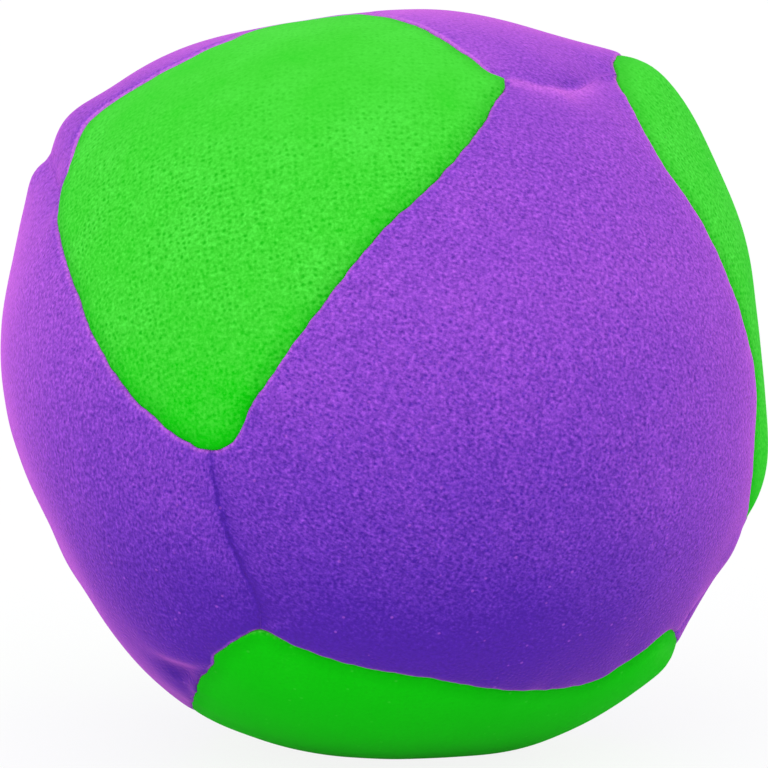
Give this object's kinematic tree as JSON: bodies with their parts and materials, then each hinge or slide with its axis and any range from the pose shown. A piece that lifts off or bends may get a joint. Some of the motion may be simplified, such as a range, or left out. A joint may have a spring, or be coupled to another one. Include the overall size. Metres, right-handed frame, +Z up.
{
  "type": "footbag",
  "caption": "Soft round footbag of green three-sided and purple six-sided suede panels, sewn edge to edge round a loose pellet filling.",
  "frame": {"origin": "middle of the small flat on which the ball rests, on the base panel", "axes": "+Z up, away from the flat; -Y towards the side that shows three kinds of seam and the largest green panel"},
  "size_m": [0.0514, 0.0519, 0.0498],
  "materials": {
    "green_suede": "brushed synthetic suede on a knitted back, matt nap",
    "purple_suede": "brushed synthetic suede on a knitted back, matt nap with a pink sheen",
    "sewing_thread": "twisted polyester thread",
    "plastic_pellets": "natural moulded pellets"
  },
  "bodies": {
    "root": {"green_panel_front": "green_suede", "green_panel_right": "green_suede", "green_panel_base": "green_suede", "green_panel_back": "green_suede", "purple_panel_front": "purple_suede", "purple_panel_left": "purple_suede", "purple_panel_top": "purple_suede", "purple_panel_under": "purple_suede", "thread_front": "sewing_thread", "thread_right": "sewing_thread", "thread_base": "sewing_thread", "thread_back": "sewing_thread", "thread_front_seam": "sewing_thread", "thread_top_seam": "sewing_thread", "thread_right_seam": "sewing_thread", "thread_left_seam": "sewing_thread", "thread_under_seam": "sewing_thread", "closing_thread": "sewing_thread", "pellet_filling": "plastic_pellets"}
  },
  "joints": []
}
